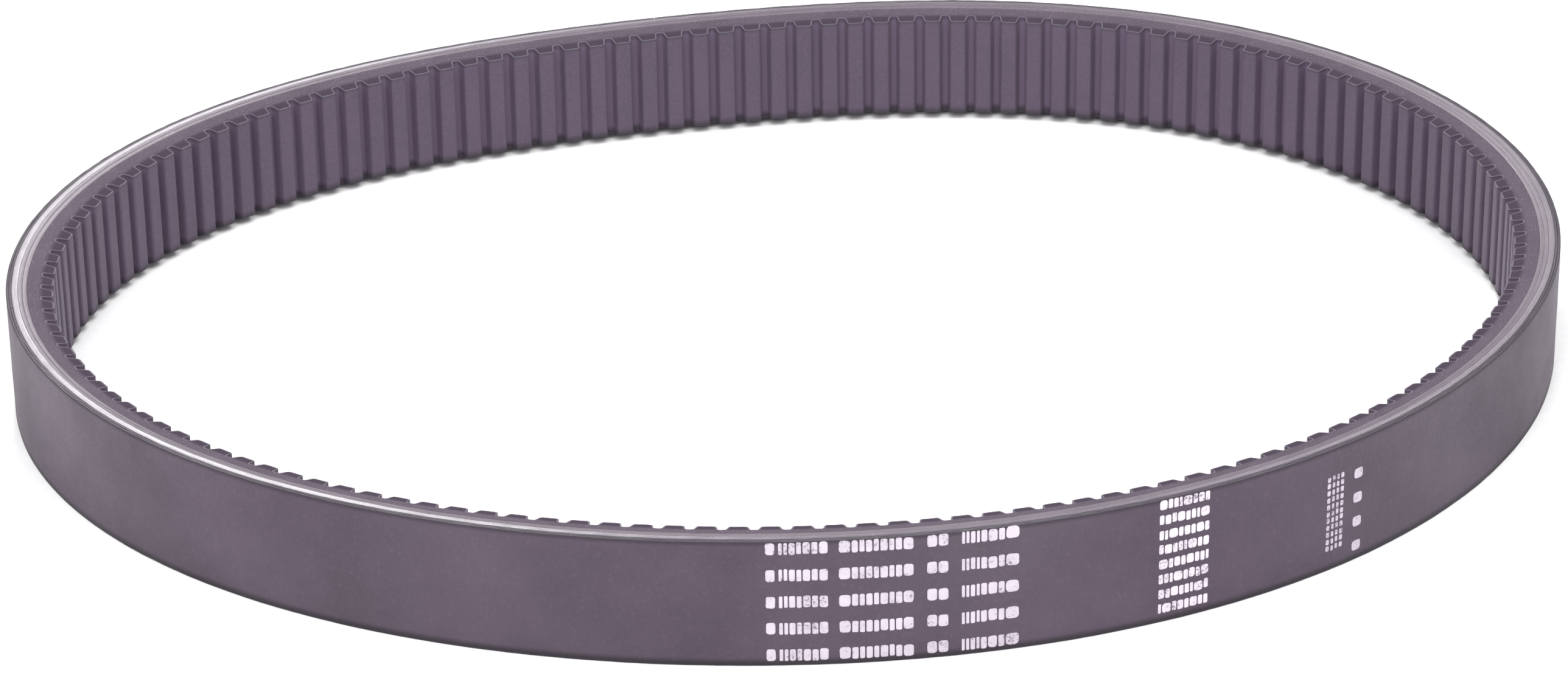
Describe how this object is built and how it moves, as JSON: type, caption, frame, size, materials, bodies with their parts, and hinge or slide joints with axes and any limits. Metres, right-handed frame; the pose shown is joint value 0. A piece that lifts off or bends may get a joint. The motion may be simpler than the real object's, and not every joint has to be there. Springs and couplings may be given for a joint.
{
  "type": "v belt",
  "caption": "Wide cogged raw-edge V-belt for a variable-speed drive, standing on its edge in a slack loop, with transverse cogs inside and plain printed marks on its back.",
  "frame": {"origin": "centre of the loop, at the middle of the belt's width", "axes": "+Z across the belt's width, along the axis that its pulleys turn about; +X along the long axis of the slack loop; +Y along the short axis, with the printed marks on the -Y side"},
  "size_m": [0.4556, 0.373, 0.0364],
  "materials": {
    "back_fabric": "rubber-soaked woven cotton, dull, dark purple-grey",
    "belt_rubber": "cut raw edge with short cross fibres, matte dark purple-grey",
    "adhesion_gum": "smooth cut rubber, slightly lighter than the rest",
    "tension_cord": "twisted polyester cord, dipped, pale grey",
    "facing_fabric": "rubberised stretch fabric, matte dark",
    "marking_ink": "pale lilac-white transfer ink, slightly worn"
  },
  "bodies": {
    "root": {"back_cover_outer_ply": "back_fabric", "back_cover_inner_ply": "back_fabric", "overcord_rubber": "belt_rubber", "adhesion_gum_upper": "adhesion_gum", "tension_cord_s_twist": "tension_cord", "tension_cord_z_twist": "tension_cord", "adhesion_gum_lower": "adhesion_gum", "undercord_rubber": "belt_rubber", "cog_facing_fabric": "facing_fabric", "printed_mark_main": "marking_ink", "printed_mark_size": "marking_ink", "printed_mark_batch": "marking_ink"}
  },
  "joints": []
}
